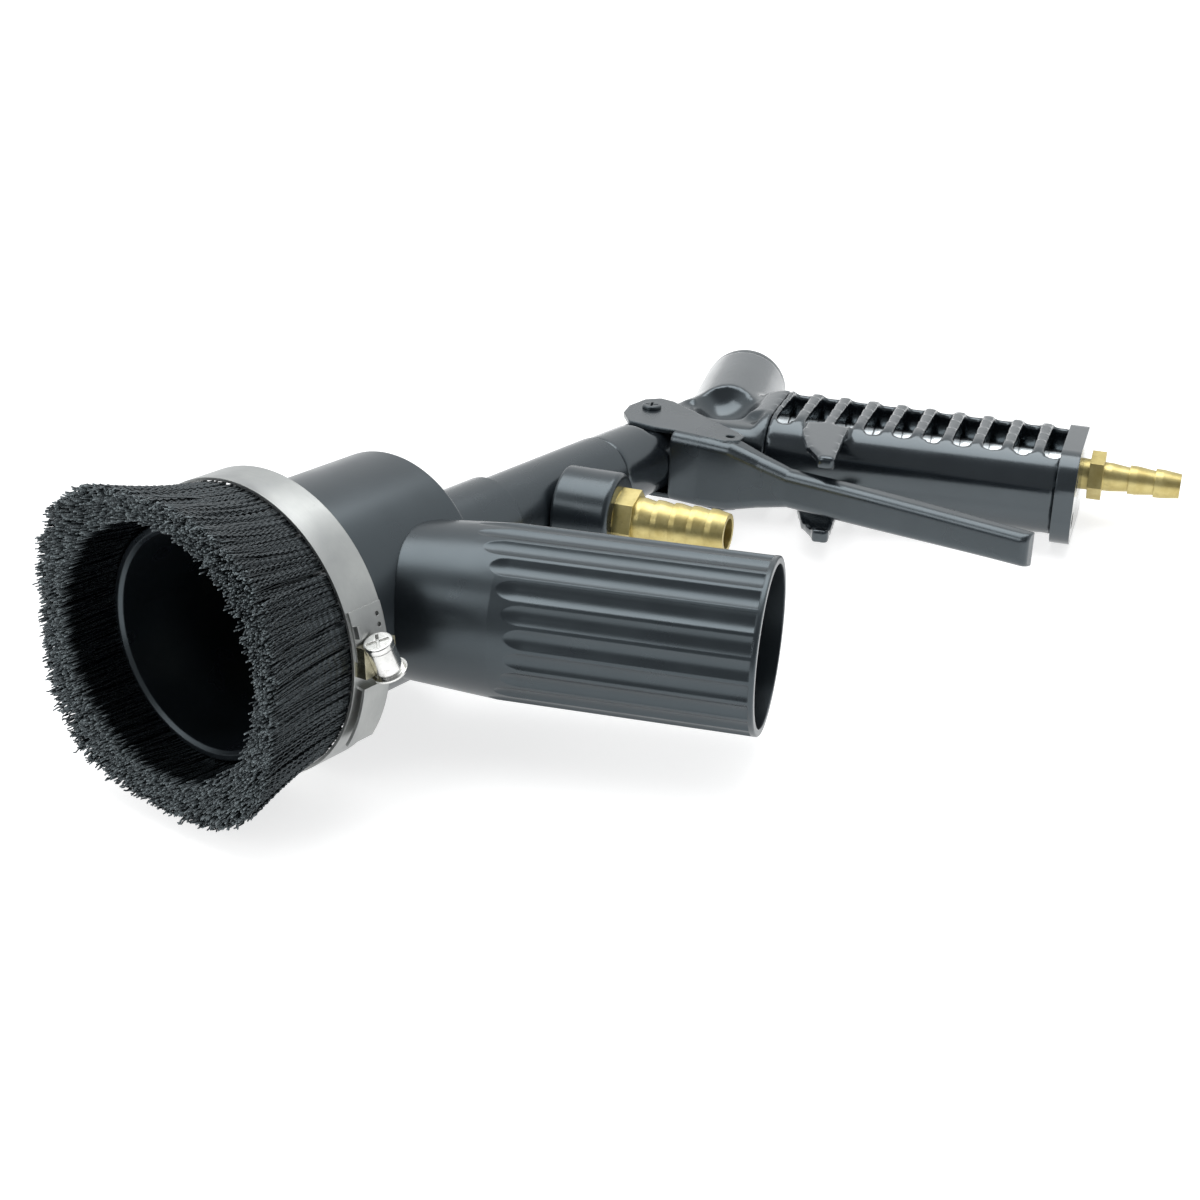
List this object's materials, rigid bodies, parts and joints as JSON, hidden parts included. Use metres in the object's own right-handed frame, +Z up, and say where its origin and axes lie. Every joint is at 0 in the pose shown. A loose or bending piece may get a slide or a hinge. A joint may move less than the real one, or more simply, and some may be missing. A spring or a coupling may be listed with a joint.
{
  "type": "dust-free blasting gun",
  "caption": "Hand-held abrasive blasting gun: brush-skirted suction cup with vacuum hose port, blast barrel, lever air valve, ribbed grip and brass hose barbs.",
  "frame": {"origin": "on the surface the gun lies on, under the middle of its bounding box", "axes": "+X rearwards along the barrel, +Z up with the gun on its side, the grip towards -Y"},
  "size_m": [0.3068, 0.1864, 0.0901],
  "materials": {
    "head_black": "satin black enamel",
    "barrel_black": "semi-gloss black enamel",
    "gun_black": "semi-gloss black enamel on a casting",
    "grip_black": "gloss black enamel on a casting",
    "lever_black": "gloss black enamel on pressed steel",
    "cap_black": "black moulded",
    "steel_dark": "blackened steel",
    "stainless": "bright stainless",
    "brass": "turned brass",
    "bristle": "black nylon bristle",
    "backing": "black rubber strip",
    "ceramic": "fired ceramic"
  },
  "bodies": {
    "gun": {"suction_head": "head_black", "suction_port": "head_black", "brush_bristles": "bristle", "brush_backing": "backing", "clamp_band": "stainless", "clamp_saddle": "stainless", "clamp_housing": "stainless", "nozzle_tube": "barrel_black", "blast_nozzle": "ceramic", "nozzle_cap": "cap_black", "head_nut": "cap_black", "mixing_body": "barrel_black", "grit_hose_barb": "brass", "gun_body": "gun_black", "air_jet": "brass", "stem_gland": "brass", "valve_seat": "brass", "valve_spring": "stainless", "valve_cap": "gun_black", "grip": "grip_black", "end_flange": "grip_black", "flange_screws": "steel_dark", "core_tube": "barrel_black", "air_hose_barb": "brass", "lever_pivot_screw": "steel_dark", "lever_pivot_nut": "steel_dark"},
    "lever": {"trigger_lever": "lever_black"},
    "valve": {"valve_stem": "stainless"},
    "clamp_screw": {"clamp_screw": "stainless"}
  },
  "joints": [
    {"name": "lever_squeeze", "type": "hinge", "parent": "gun", "child": "lever", "pos_m": [0.07111, 0.05809, 0.02146], "axis": [0.1008, 0.0049, 0.9949], "range_deg": [0, 12], "stiffness_Nm_per_rad": 0.8, "springref_deg": -11.46},
    {"name": "valve_slide", "type": "slide", "parent": "gun", "child": "valve", "axis": [0.8993, 0.4274, -0.0932], "range_m": [0, 0.0055], "deforming": ["valve_spring"]},
    {"name": "clamp_screw_turn", "type": "hinge", "parent": "gun", "child": "clamp_screw", "pos_m": [-0.1131, 0.00562, 0.0435], "axis": [-0.2795, 0.0692, 0.9577], "continuous": true}
  ],
  "couplings": [
    {"joint": "valve_slide", "follows": "lever_squeeze", "m_per_rad": 0.0258}
  ]
}
